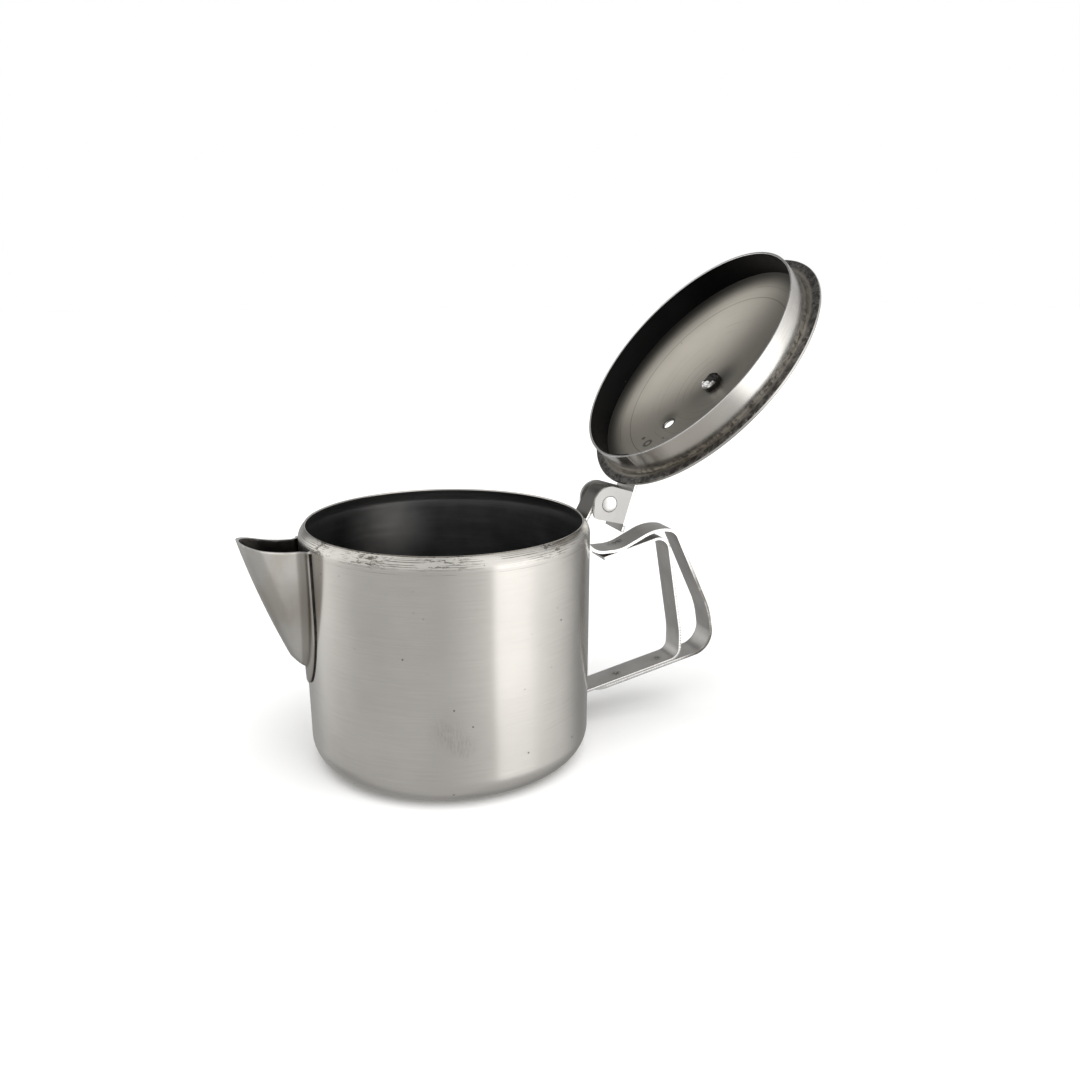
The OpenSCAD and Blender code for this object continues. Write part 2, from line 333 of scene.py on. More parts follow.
def add_piece(obj, body, node, materials, place=None, sharp=38.0, flat=False):
    """Finishes a piece: its smooth shading, its materials, the body it rides on and the node it replaces.

    flat keeps the shading of large flat faces even, right up to their rounded edges.
    """
    obj.data.shade_smooth()
    obj.data.set_sharp_from_angle(angle=math.radians(sharp))
    if flat:
        obj.modifiers.new("flat", "WEIGHTED_NORMAL").keep_sharp = True
        settle(obj)
    for material in materials:
        obj.data.materials.append(material)
    if place is not None:
        obj.matrix_world = place
    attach(obj, body)
    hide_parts(node)


# ---- materials ----

class Finish:
    """A material's nodes, with short calls that add and join them."""

    def __init__(self, name, colour, roughness, anisotropy=0.0, turned=False, strip=False):
        self.material = bpy.data.materials.new(name)
        self.material.use_nodes = True
        self.tree = self.material.node_tree
        self.shader = self.tree.nodes["Principled BSDF"]
        self.shader.inputs["Metallic"].default_value = 1.0
        self.shader.inputs["Anisotropic"].default_value = anisotropy
        self.shader.inputs["Anisotropic Rotation"].default_value = 0.25
        if turned:
            tangent = self.add("ShaderNodeTangent", direction_type="RADIAL", axis="Z")
            self.join(tangent.outputs[0], self.shader.inputs["Tangent"])
        if strip:
            tangent = self.add("ShaderNodeTangent", direction_type="UV_MAP", uv_map="brushed")
            self.join(tangent.outputs[0], self.shader.inputs["Tangent"])
        self.where = self.add("ShaderNodeTexCoord").outputs["Object"]
        self.colour = self.value_of(colour)
        self.rough = roughness
        self.height = 0.0

    def value_of(self, colour):
        node = self.add("ShaderNodeRGB")
        node.outputs[0].default_value = (*colour, 1)
        return node.outputs[0]

    def add(self, kind, inputs=None, **settings):
        node = self.tree.nodes.new(kind)
        for key, value in settings.items():
            setattr(node, key, value)
        for key, value in (inputs or {}).items():
            self.join(value, node.inputs[key])
        return node

    def join(self, value, socket):
        if isinstance(value, bpy.types.NodeSocket):
            self.tree.links.new(value, socket)
        else:
            socket.default_value = value

    def math(self, operation, a, b=0.0, clamp=False):
        return self.add("ShaderNodeMath", {0: a, 1: b}, operation=operation, use_clamp=clamp).outputs[0]

    def times(self, first, *others):
        for other in others:
            first = self.math("MULTIPLY", first, other)
        return first

    def stretched(self, scale, where=None):
        """Coordinates multiplied by a scale along each axis: the object's own, in metres, unless given."""
        where = self.where if where is None else where
        return self.add("ShaderNodeVectorMath", {0: where, 1: scale}, operation="MULTIPLY").outputs[0]

    def noise(self, scale, vector=None, detail=2.0, roughness=0.5):
        vector = self.where if vector is None else vector
        return self.add("ShaderNodeTexNoise", {"Vector": vector, "Scale": scale, "Detail": detail,
                        "Roughness": roughness}).outputs[0]

    def rings(self, across, along, **settings):
        """Noise that changes only with two values, such as the distance from the axis."""
        place = self.add("ShaderNodeCombineXYZ", {0: across, 1: along}).outputs[0]
        return self.noise(1.0, place, **settings)

    def between(self, value, low, high, to_low=0.0, to_high=1.0):
        """value mapped smoothly from low..high to to_low..to_high."""
        return self.add("ShaderNodeMapRange", {"Value": value, "From Min": low, "From Max": high,
                        "To Min": to_low, "To Max": to_high}, interpolation_type="SMOOTHSTEP").outputs[0]

    def axis(self, name):
        return self.add("ShaderNodeSeparateXYZ", {0: self.where}).outputs[name]

    def radius(self):
        """Distance from the object's own Z axis."""
        flat = self.stretched((1, 1, 0))
        return self.add("ShaderNodeVectorMath", {0: flat}, operation="LENGTH").outputs["Value"]

    def near(self, point, size):
        """1 at a point in millimetres, falling smoothly to 0 at size millimetres from it."""
        place = tuple(value * MM for value in point)
        gap = self.add("ShaderNodeVectorMath", {0: self.where, 1: place}, operation="DISTANCE")
        return self.between(gap.outputs["Value"], 0.0, size * MM, 1.0, 0.0)

    def tint(self, mask, colour):
        """Paints a colour over what is there so far, where the mask is 1."""
        mix = self.add("ShaderNodeMix", {"Factor": mask, 6: self.colour, 7: (*colour, 1)}, data_type="RGBA")
        self.colour = mix.outputs[2]

    def shade(self, factor):
        """Multiplies the colour so far by a grey factor."""
        scaled = self.add("ShaderNodeVectorMath", {0: self.colour, "Scale": factor}, operation="SCALE")
        self.colour = scaled.outputs[0]

    def roughen(self, amount):
        self.rough = self.math("ADD", self.rough, amount)

    def raise_by(self, amount, height):
        """Adds relief: amount runs from 0 to 1, and height is in millimetres."""
        self.height = self.math("ADD", self.height, self.times(amount, height * MM))

    def done(self):
        self.join(self.colour, self.shader.inputs["Base Color"])
        self.join(self.rough, self.shader.inputs["Roughness"])
        bump = self.add("ShaderNodeBump", {"Height": self.height, "Distance": 1.0, "Strength": 1.0})
        self.join(bump.outputs[0], self.shader.inputs["Normal"])
        return self.material


def brushed_lines(finish, scale, strength, uneven=0.035):
    """Fine parallel brush lines: scale squeezes the noise across them and stretches it along them."""
    fine = finish.noise(1.0, finish.stretched(scale), detail=4, roughness=0.75)
    finish.shade(finish.between(fine, 0.3, 0.7, 1 - strength, 1 + strength * 0.6))
    finish.roughen(finish.between(fine, 0.3, 0.7, -uneven, uneven))


def pits(finish, cells, share, size, colour, depth=0.03):
    """Sparse small dark pits, one in some of the cells of a Voronoi pattern."""
    cell = finish.add("ShaderNodeTexVoronoi", {"Vector": finish.where, "Scale": cells})
    chance = finish.add("ShaderNodeSeparateColor", {0: cell.outputs["Color"]}).outputs[0]
    there = finish.math("GREATER_THAN", chance, 1 - share)
    dot = finish.between(cell.outputs["Distance"], size * 0.5, size, 1.0, 0.0)
    mask = finish.times(there, dot)
    finish.tint(finish.times(mask, 0.75), colour)
    finish.raise_by(mask, -depth)


def body_outside():
    """Brushed round the pot, with turned lines and stains on the shoulder and a smudge low down."""
    finish = Finish("brushed_body", (0.68, 0.655, 0.612), 0.24, 0.85, turned=True)
    brushed_lines(finish, (70, 70, 6500), 0.045, uneven=0.016)
    hairs = finish.noise(1.0, finish.stretched((45, 45, 9000)), detail=1)
    finish.shade(finish.between(hairs, 0.66, 0.70, 1.0, 1.03))
    finish.shade(finish.between(finish.noise(38, detail=4), 0.3, 0.75, 0.945, 1.035))
    height = finish.axis("Z")
    shoulder = finish.between(height, 0.0712, 0.0740)
    down = finish.times(finish.math("SUBTRACT", finish.radius(), height), 2600)
    rings = finish.rings(down, 4.0, detail=1)
    broken = finish.between(finish.noise(1.0, finish.stretched((120, 120, 500)), detail=3), 0.42, 0.6)
    lines = finish.times(shoulder, finish.between(rings, 0.42, 0.46, 1.0, 0.0))
    finish.tint(finish.times(lines, broken, 0.85), (0.12, 0.11, 0.095))
    finish.raise_by(finish.times(shoulder, rings), 0.012)
    stain_noise = finish.noise(1.0, finish.stretched((380, 380, 1500)), detail=4, roughness=0.7)
    stains = finish.between(stain_noise, 0.5, 0.6)
    high = finish.between(height, 0.0726, 0.0745)
    for x, y, size in ((-31, -31, 12), (-13, -41.5, 11), (19, -39, 8), (-41, -15, 8)):
        mask = finish.times(finish.near((x, y, 75), size), stains, high, 0.9)
        finish.tint(mask, (0.10, 0.09, 0.075))
    smudge_noise = finish.noise(1.0, finish.stretched((1900, 1900, 420)), detail=5, roughness=0.7)
    smudge = finish.between(smudge_noise, 0.25, 0.8)
    for place, size in (((-14, -42.7, 24.5), 7.5), ((-9.5, -44, 20.5), 6)):
        finish.tint(finish.times(finish.near(place, size), smudge, 0.5), (0.36, 0.335, 0.30))
    pits(finish, 170, 0.20, 0.07, (0.16, 0.14, 0.12))
    pits(finish, 420, 0.08, 0.10, (0.22, 0.20, 0.18))
    return finish.done()


def body_inside():
    """The unpolished inside of the pot, dark with tea stain and with painted shade of the hollow. The far
    wall's bloom is a painted reflection.
    """
    finish = Finish("dark_inside", (0.150, 0.150, 0.154), 0.38, 0.4, turned=True)
    brushed_lines(finish, (60, 60, 1800), 0.10)
    finish.shade(finish.between(finish.noise(60, detail=4), 0.3, 0.7, 0.8, 1.2))
    # painted reflection: a lighter hazy bloom on the far inner wall
    painted_reflection = finish.between(finish.noise(45, detail=2), 0.15, 0.6)
    finish.tint(finish.times(finish.near((-8.5, 42.5, 64.5), 20), painted_reflection, 0.85), (0.72, 0.70, 0.68))
    finish.tint(finish.between(finish.axis("Z"), 0.0695, 0.0745, 0.0, 0.6), (0.40, 0.395, 0.39))
    pits(finish, 260, 0.1, 0.1, (0.03, 0.028, 0.025))
    return finish.done()


def cut_edge(name="bright_cut_edge", grime_from=None):
    """The bright edge that shearing and polishing leave on the sheet, grimy beyond a distance along X."""
    finish = Finish(name, (0.9, 0.885, 0.86), 0.24)
    finish.shade(finish.between(finish.noise(900, detail=3), 0.3, 0.7, 0.9, 1.03))
    if grime_from is not None:
        far = finish.between(finish.axis("X"), grime_from * MM, (grime_from + 8) * MM)
        patchy = finish.between(finish.noise(260, detail=4), 0.3, 0.6, 0.55, 0.95)
        finish.tint(finish.times(far, patchy), (0.16, 0.145, 0.125))
    finish.raise_by(finish.noise(1500, detail=2), 0.01)
    pits(finish, 700, 0.12, 0.2, (0.3, 0.27, 0.24), 0.01)
    return finish.done()


def polished_lip():
    """The smooth bright line where the sheet's edge was rubbed down."""
    finish = Finish("bright_spout_lip", (0.93, 0.92, 0.90), 0.2)
    finish.shade(finish.between(finish.noise(200, detail=3), 0.3, 0.7, 0.9, 1.02))
    return finish.done()


def sheared_edge():
    """The edge of the spout's flanges, painted near-black as the shade in the gap along the body."""
    finish = Finish("dark_flange_edge", (0.045, 0.042, 0.039), 0.45)
    finish.shade(finish.between(finish.noise(500, detail=4), 0.3, 0.7, 0.6, 1.5))
    return finish.done()


def spout_outside():
    """Satin steel with brown patches, stained near the body, with painted shade at the flanges' top corners
    and in the bends beside the body.
    """
    finish = Finish("spout_steel", (0.60, 0.58, 0.545), 0.36, 0.4, strip=True)
    brushed_lines(finish, (300, 300, 1400), 0.03)
    finish.shade(finish.between(finish.noise(90, detail=4), 0.3, 0.7, 0.94, 1.04))
    brown = finish.between(finish.noise(1.0, finish.stretched((160, 160, 60)), detail=4), 0.46, 0.66)
    finish.tint(finish.times(brown, 0.4), (0.46, 0.42, 0.35))
    # a real stain low on each side, and painted shade at each flange's top corner where it meets the shoulder
    for side in (-1, 1):
        for place, size, deep in (((-46.5, 9.0, 56), 13, 0.45), ((-45, 11.0, 73), 3.2, 0.9)):
            stain_and_shade = finish.near((place[0], place[1] * side, place[2]), size)
            finish.tint(finish.times(stain_and_shade, deep), (0.26, 0.235, 0.195))
    # painted shade in the bend between each side wall and its flange
    bend_from = -(SPOUT_BASE_X + 1.9) * MM
    near_body = finish.between(finish.axis("X"), bend_from, bend_from + 0.0009)
    off_middle = finish.math("ABSOLUTE", finish.axis("Y"))
    bent = finish.times(near_body, finish.between(off_middle, 0.0094, 0.0101, 1.0, 0.0), 0.62)
    finish.tint(bent, (0.27, 0.25, 0.22))
    pits(finish, 300, 0.10, 0.11, (0.16, 0.14, 0.12))
    return finish.done()


def spout_inside():
    finish = Finish("dark_spout_inside", (0.12, 0.112, 0.105), 0.30)
    finish.shade(finish.between(finish.noise(150, detail=4), 0.3, 0.7, 0.7, 1.3))
    finish.raise_by(finish.noise(500, detail=3), 0.02)
    return finish.done()


def strip_face(name, weld_marks):
    """Satin steel strip, drawn along its length, with a dark ring round each spot weld and painted shade
    round the rolled eye.
    """
    finish = Finish(name, (0.60, 0.585, 0.56), 0.36, 0.55, strip=True)
    along = finish.add("ShaderNodeUVMap", uv_map="brushed").outputs[0]
    lines = finish.noise(1.0, finish.stretched((1.2, 70, 1), along), detail=4, roughness=0.7)
    finish.shade(finish.between(lines, 0.3, 0.7, 0.93, 1.05))
    finish.roughen(finish.between(lines, 0.3, 0.7, -0.04, 0.05))
    finish.shade(finish.between(finish.noise(90, detail=4), 0.3, 0.7, 0.88, 1.06))
    rough = finish.between(finish.noise(1400, detail=3), 0.35, 0.6)
    for x, z, y, _ in weld_marks:
        finish.tint(finish.times(finish.near((x, y, z), 2.6), rough, 0.85), (0.10, 0.085, 0.075))
    # painted shade: the rolled eye at the hinge pin and the strip next to it are darkened
    eye = finish.between(finish.near((PIN_X - 1, 0, PIN_Z), 3.4 * EYE_R), 0.04, 0.3)
    finish.tint(finish.times(eye, 0.88), (0.095, 0.09, 0.083))
    pits(finish, 330, 0.07, 0.10, (0.16, 0.145, 0.13))
    return finish.done()


def lid_inside():
    """Spun steel, browned by tea: tool rings, sooty darkening round the stud mixed with painted shade, and
    marks near the hinge.

    The lighter hinge side is painted light, and the dark ring beside the skirt is a painted reflection of the
    skirt.
    """
    finish = Finish("spun_inside", (0.62, 0.58, 0.505), 0.30, 0.5, turned=True)
    radius = finish.radius()
    # painted light: the hinge side, towards +X, is made lighter
    finish.shade(finish.between(finish.axis("X"), 0.004, 0.032, 0.97, 1.22))
    rings = finish.rings(finish.times(radius, 1600), 3.0, detail=3, roughness=0.6)
    worn = finish.between(finish.noise(55, detail=2), 0.4, 0.65)
    finish.shade(finish.math("ADD", 1.0, finish.times(worn, finish.between(rings, 0.35, 0.65, -0.03, 0.02))))
    arcs = finish.between(finish.noise(70, detail=1), 0.45, 0.6)
    for at, deep, share in ((32.6, 0.5, 1.0), (24.5, 0.2, arcs), (21.8, 0.15, arcs), (15.2, 0.24, arcs),
                            (12.3, 0.26, arcs), (9.4, 0.3, arcs), (36.3, 0.2, arcs)):
        gap = finish.math("ABSOLUTE", finish.math("SUBTRACT", radius, at * MM))
        line = finish.between(gap, 0.00006, 0.00022, deep, 0.0)
        finish.tint(finish.times(line, share), (0.16, 0.145, 0.125))
    finish.shade(finish.between(finish.noise(45, detail=4), 0.3, 0.7, 0.94, 1.04))
    # darkening round the stud and below it: soot, with painted shade from the stud and on the lower side
    for place, size, deep in (((0, 0), 15.0, 0.45), ((-2.5, -2.5), 7.5, 0.75), ((9.0, -16.0), 24.0, 0.3)):
        soot_and_shade = finish.near((*place, dome_z(0, -LID_WALL)), size)
        finish.tint(finish.times(soot_and_shade, deep), (0.17, 0.16, 0.15))
    # painted reflection: a dark ring where the skirt is mirrored in the dome
    finish.tint(finish.between(radius, 0.0345, 0.0405, 0.0, 0.85), (0.05, 0.047, 0.043))
    x, y = vent_place()
    vent = (x, y, dome_z(VENT_R, -LID_WALL))
    finish.tint(finish.between(finish.near(vent, 2 * VENT_D), 0.74, 0.82, 0.0, 0.9), (0.04, 0.036, 0.032))
    for place, size, deep in (((x - 2.0, y + 2.4), 4.8, 0.5), ((27.2, 9.4), 1.15, 0.95),
                              ((24.5, 0.2), 0.7, 0.8)):
        point = (*place, dome_z(math.hypot(*place), -LID_WALL))
        finish.tint(finish.times(finish.near(point, size), deep), (0.06, 0.054, 0.048))
    weld = (28.4, 4.9, dome_z(28.8, -LID_WALL))
    middle = finish.times(finish.near(weld, 1.6), 1.25)
    ring = finish.math("SUBTRACT", finish.near(weld, 2.3), middle)
    finish.tint(finish.math("MULTIPLY", ring, 2.6, clamp=True), (0.08, 0.07, 0.06))
    pits(finish, 280, 0.10, 0.09, (0.12, 0.10, 0.085))
    return finish.done()


def lid_outside():
    """Brushed round the lid, with faint rings."""
    finish = Finish("brushed_lid", (0.66, 0.635, 0.6), 0.25, 0.8, turned=True)
    rings = finish.rings(finish.times(finish.radius(), 1500), 7.0, detail=4, roughness=0.7)
    finish.shade(finish.between(rings, 0.3, 0.7, 0.94, 1.04))
    finish.shade(finish.between(finish.noise(40, detail=3), 0.3, 0.7, 0.94, 1.04))
    pits(finish, 230, 0.08, 0.09, (0.17, 0.15, 0.13))
    return finish.done()


def rim_underside():
    """The dull, speckled underside of the rim, where the skirt was welded and never polished."""
    finish = Finish("speckled_rim", (0.17, 0.162, 0.152), 0.42)
    blotch = finish.between(finish.noise(420, detail=5, roughness=0.75), 0.40, 0.58)
    finish.tint(finish.times(blotch, 0.9), (0.035, 0.033, 0.031))
    bright = finish.between(finish.noise(800, detail=3), 0.62, 0.7)
    finish.tint(finish.times(bright, 0.5), (0.50, 0.48, 0.44))
    cleaner = finish.between(finish.radius(), 0.0426, 0.0437, 0.75, 0.0)
    finish.tint(cleaner, (0.40, 0.375, 0.33))
    finish.raise_by(blotch, 0.03)
    return finish.done()


def skirt_steel(name, colour, roughness, grime):
    """The skirt's strip. grime, from 0 to 1, browns it and darkens the corner under the rim."""
    finish = Finish(name, colour, roughness, 0.6, turned=True)
    brushed_lines(finish, (110, 110, 4200), 0.05)
    finish.shade(finish.between(finish.noise(75, detail=4), 0.3, 0.7, 0.9, 1.05))
    finish.tint(finish.times(finish.near((27, -32, -4), 27), 0.75 * grime), (0.52, 0.475, 0.41))
    edge = finish.times(finish.between(finish.axis("Z"), -0.0022, -0.0004),
                       finish.between(finish.noise(520, detail=4, roughness=0.7), 0.42, 0.6))
    finish.tint(finish.times(edge, 0.8 * grime), (0.08, 0.072, 0.065))
    pits(finish, 380, 0.10, 0.12, (0.14, 0.125, 0.11))
    return finish.done()


def turned_steel(name, colour, roughness):
    """Turned on a lathe, with faint tool rings."""
    finish = Finish(name, colour, roughness, 0.5, turned=True)
    rings = finish.rings(finish.times(finish.radius(), 3500), finish.times(finish.axis("Z"), 3500), detail=3)
    finish.shade(finish.between(rings, 0.3, 0.7, 0.93, 1.05))
    finish.raise_by(rings, 0.004)
    pits(finish, 520, 0.08, 0.12, (0.2, 0.18, 0.16))
    return finish.done()


def hammered_steel():
    """The rivet's head: sooty black, with a painted highlight on one side of its hammered end."""
    finish = Finish("hammered_stud", (0.05, 0.047, 0.043), 0.32)
    end = (DOME_TOP - LID_WALL - STUD_DROP) * MM
    proud = finish.between(finish.axis("Z"), end + 0.0006, end + 0.0011, 1.0, 0.0)
    uneven = finish.times(finish.noise(260, detail=2), 0.006)
    # painted highlight on the +X side of the proud hammered end
    painted_glint = finish.between(finish.math("ADD", finish.axis("X"), uneven), 0.0024, 0.0030)
    finish.tint(finish.times(proud, painted_glint), (0.90, 0.89, 0.87))
    finish.raise_by(finish.noise(900, detail=3), 0.08)
    return finish.done()


def floor_white():
    finish = Finish("pale_floor", (0.93, 0.93, 0.925), 0.6)
    finish.shader.inputs["Metallic"].default_value = 0.0
    finish.shade(finish.between(finish.noise(6, detail=3), 0.3, 0.7, 0.985, 1.0))
    return finish.done()


# ---- pot ----

def body_outline():
    """The body's outline from the middle of its base, up the outside, over the lip and down the inside."""
    shoulder_in = MOUTH_R - BODY_R + SHOULDER_R
    shoulder_z = BODY_H - math.sqrt(SHOULDER_R ** 2 - shoulder_in ** 2)
    side = []
    for inset in (0.0, BODY_WALL):
        corner = arc((BODY_R - BASE_CORNER_R, BASE_CORNER_R), BASE_CORNER_R - inset, -90, 0, 4)
        top = math.degrees(math.acos(shoulder_in / (SHOULDER_R - inset)))
        shoulder = arc((BODY_R - SHOULDER_R, shoulder_z), SHOULDER_R - inset, 0, top - 3, 2.5)
        wall_z = np.linspace(BASE_CORNER_R, shoulder_z, 56)[1:-1]
        wall = np.column_stack([np.full(len(wall_z), BODY_R - inset), wall_z])
        side.append(np.vstack([corner, wall, shoulder]))
    base = np.column_stack([np.linspace(0, BODY_R - BASE_CORNER_R, 16)[:-1], np.zeros(15)])
    lip = arc((MOUTH_R + 0.35, BODY_H - 0.42), 0.38, 60, 205, 20)
    floor = base[::-1] + (0, BODY_WALL)
    outline = np.vstack([base, side[0], lip, side[1][::-1], floor])
    inside_from = len(base) + len(side[0]) + len(lip) - 3
    return outline, inside_from


def worn(points):
    """The slight waviness of a spun wall, and fine turned ridges on the shoulder."""
    angle = np.arctan2(points[:, 1], points[:, 0])
    z = points[:, 2]
    wave = 0.035 * np.sin(2 * angle + 0.6) * np.sin(z / 17) + 0.02 * np.sin(5 * angle + z / 11)
    wave *= np.clip(z / 12, 0, 1) * np.clip((BODY_H - 4 - z) / 10, 0, 1)
    ridge = 0.008 * np.sin(z * 11.3) * np.exp(-((z - 72.5) / 2.5) ** 2)
    radius = np.hypot(points[:, 0], points[:, 1])
    scale = np.where(radius > 1, 1 + (wave + ridge) / np.maximum(radius, 1), 1)
    return points * np.column_stack([scale, scale, np.ones(len(points))])


def make_body():
    outline, inside_from = body_outline()
    kinds = [1 if i >= inside_from else 0 for i in range(len(outline) - 1)]
    body = lathe("pot_body", outline, 256, kinds, shape=worn)
    cutters = []
    for row in range(STRAINER_ROWS):
        holes = 2 + row % 2
        for k in range(holes):
            turn = (k - (holes - 1) / 2) * STRAINER_PITCH / BODY_R
            z = STRAINER_LOW_Z + row * STRAINER_PITCH
            out = np.array([-math.cos(turn), -math.sin(turn)])
            cutters.append(rod(STRAINER_D / 2, (*(out * (BODY_R - 3)), z), (*(out * (BODY_R + 3)), z), 24))
    combine(body, cutters, "DIFFERENCE")
    add_piece(body, "pot", "body_shell", [body_outside(), body_inside()])


# ---- spout ----

def keel_line(z):
    drop = SPOUT_TIP_Z - z
    return SPOUT_REACH - drop * (KEEL_LEAN + KEEL_BOW * drop)


def keel_x(z):
    """Reach of the spout's keel: rounded at its heel, then leaning out to the tip."""
    if z >= HEEL_Z:
        return keel_line(z)
    share = max(0.0, (z - KEEL_LOW_Z) / (HEEL_Z - KEEL_LOW_Z))
    return SPOUT_BASE_X + (keel_line(HEEL_Z) - SPOUT_BASE_X) * share ** 0.7


def spout_section(z, inset, nose_steps=20, side_steps=6, fold_steps=6, flange_steps=8):
    """Half of the folded sheet at one height, from the keel to the flange's edge, as (reach, half width)."""
    share = min(1.0, max(0.0, z - KEEL_LOW_Z) / 32)
    half = 1.2 + (SPOUT_HALF_W - 1.2) * (share * (2 - share)) ** 0.8
    share = min(1.0, (z - FLANGE_LOW_Z + 0.4) / 24)
    edge = (SPOUT_HALF_W + SPOUT_FLANGE_W) * math.sqrt(share * (2 - share))
    depth = max(0.0, keel_x(z) - math.sqrt(SPOUT_BASE_X ** 2 - half ** 2))
    nose = depth * (0.8 - 0.45 * min(1, depth / 17))
    fold = min(2.2, 0.4 * depth, 0.8 * (edge - half) if edge > half else 0.0)
    fold_y = half + fold
    fold_x = math.sqrt(SPOUT_BASE_X ** 2 - fold_y ** 2) + fold
    turn = np.radians(np.linspace(0, 90, nose_steps))
    reach = keel_x(z) - inset
    back = (nose - inset * 0.3) * (1 - np.cos(turn))
    part = [np.column_stack([reach - back, (half - inset) * np.sin(turn)])]
    start = part[0][-1]
    share = np.linspace(0, 1, side_steps + 1)[1:, None]
    part.append(start + (np.array([fold_x, half - inset]) - start) * share)
    turn = np.radians(np.linspace(-90, -180, fold_steps + 1))[1:]
    part.append((fold_x, fold_y) + (fold + inset) * np.column_stack([np.cos(turn), np.sin(turn)]))
    share = np.linspace(0, 1, flange_steps + 1)[1:]
    y = fold_y + (max(edge, fold_y + 0.1) - fold_y) * share
    thinned = 0.0 if inset else EDGE_THINNED * share ** 3
    part.append(np.column_stack([np.sqrt((SPOUT_BASE_X - inset) ** 2 - y ** 2) - thinned, y]))
    return np.vstack(part)


def lip_height(x):
    return LIP_Z + (SPOUT_TIP_Z - LIP_Z) * (max(0.0, x - 46) / (SPOUT_REACH - 46)) ** 2.2


def make_spout(rows=64):
    """The folded sheet: an outer and an inner face, joined along the flange's edge and the lips."""
    tops = {inset: [lip_height(x) for x, _ in spout_section(LIP_Z, inset)] for inset in (0.0, SPOUT_WALL)}
    points, uv = [], []
    for row in range(rows + 1):
        loop = []
        for inset in (0.0, SPOUT_WALL):
            half_loop = []
            for i, top in enumerate(tops[inset]):
                z = FLANGE_LOW_Z + (top - FLANGE_LOW_Z) * row / rows
                reach, y = spout_section(z, inset)[i]
                half_loop.append((-reach, y, z))
            whole = [(x, -y, z) for x, y, z in half_loop[:0:-1]] + half_loop
            loop += whole if inset == 0.0 else whole[::-1]
        points += loop
        uv += [(p[1], p[2]) for p in loop]
    ring = 2 * len(tops[0.0]) - 1
    loop = 2 * ring
    faces = tube_faces(rows + 1, loop)
    kinds = []
    for i in range(len(faces)):
        c = i % loop
        kinds.append(3 if c in (ring - 1, loop - 1) else 0 if c < ring else 1)
    for start in (0, rows * loop):
        last = start + loop - 1
        faces += [(start + i, start + i + 1, last - 1 - i, last - i) for i in range(ring - 1)]
        kinds += [2] * (ring - 1)
    spout = make_object("pot_spout", points, faces, kinds, np.array(uv) / 10)
    bevel(spout, 0.15, kind=2, angle=55)
    finishes = [spout_outside(), spout_inside(), polished_lip(), sheared_edge()]
    add_piece(spout, "pot", "spout", finishes)


# ---- handle ----

def outer_line():
    """Centre line of the outer strip, from the eye's free end to the end of the lower leg."""
    lean = math.radians(EYE_LEAN)
    leave = (PIN_X - EYE_R * math.cos(lean), PIN_Z + EYE_R * math.sin(lean))
    eye = arc((PIN_X, PIN_Z), EYE_R, -115, 180 - EYE_LEAN - 1, 1)
    rest = centre_line([(*leave, 0), (STRIP_X, leave[1] - (leave[0] - STRIP_X) / math.tan(lean), 3),
                        (STRIP_X, 61.8, 7.2), (58.6, 61.8, 14), (71.9, 68, 15), (79.3, 66.7, 5),
                        (94, 36.5, 30), (96.6, leg_z(96.6, 0), 7.5), (*LEG_END, 0)])
    return resample(np.vstack([eye, rest]), 0.5)


def inner_line():
    line = centre_line([(52.5, 59.6, 0), (76.2, 65.5, 4.5), (82.9, 29.6, 30), (83.1, leg_z(83.1, STRIP_T), 4),
                        (STRIP_X, leg_z(STRIP_X, STRIP_T), 2.5), (STRIP_X, 5.5, 0)])
    return resample(line, 0.5)


def make_handle():
    edges = cut_edge("grimy_cut_edge", grime_from=82), cut_edge()
    grip_welds = [(58.3, 62.6, 1.2, 0.16), (60.2, 63.2, 1.2, 0.16)]
    leg_welds = [(x, leg_z(x, 1.5 * STRIP_T), -0.8, 0.14) for x in (60.0, 76.0)]
    body_welds = [(STRIP_X + 0.5, z, 0, 0.14) for z in (66.5, 71.0)]
    tail_welds = [(STRIP_X + 0.5, 8.0, 0, 0.14)]
    for which, line, welds, rounded, edge in (
            ("outer_strip", outer_line(), grip_welds + body_welds, True, edges[0]),
            ("inner_strip", inner_line(), leg_welds + tail_welds, False, edges[1])):
        strip = sweep_strip("grip_" + which, line, STRIP_W, STRIP_T, round_end=rounded, marks=welds)
        bevel(strip, 0.13, kind=1)
        finishes = [strip_face("satin_grip_" + which, welds), edge]
        add_piece(strip, "pot", "handle_" + which, finishes)


def make_pin():
    """The shouldered hinge pin, turned about its own axis and laid along Y."""
    outline = [(0, -PIN_END - 0.12), (PIN_R * 0.55, -PIN_END - 0.1), (PIN_R - 0.45, -PIN_END),
               (PIN_R - 0.12, -PIN_END + 0.08), (PIN_R, -PIN_END + 0.3), (PIN_R, -STRIP_W / 2),
               (BARREL_R - 0.15, -STRIP_W / 2), (BARREL_R, -STRIP_W / 2 + 0.15)]
    outline += [(r, -z) for r, z in reversed(outline)]
    pin = lathe("turned_pin", outline, 72)
    place = Matrix.Translation(Vector((PIN_X, 0, PIN_Z)) * MM) @ Matrix.Rotation(math.pi / 2, 4, "X")
    finish = turned_steel("bright_pin", (0.76, 0.75, 0.73), 0.26)
    add_piece(pin, "pot", "hinge_pin", [finish], place)


# ---- lid: made closed about its own axis, with its rim's underside at height 0 ----

def ring_of(radii, offset):
    return np.column_stack([radii, dome_z(radii, offset)])


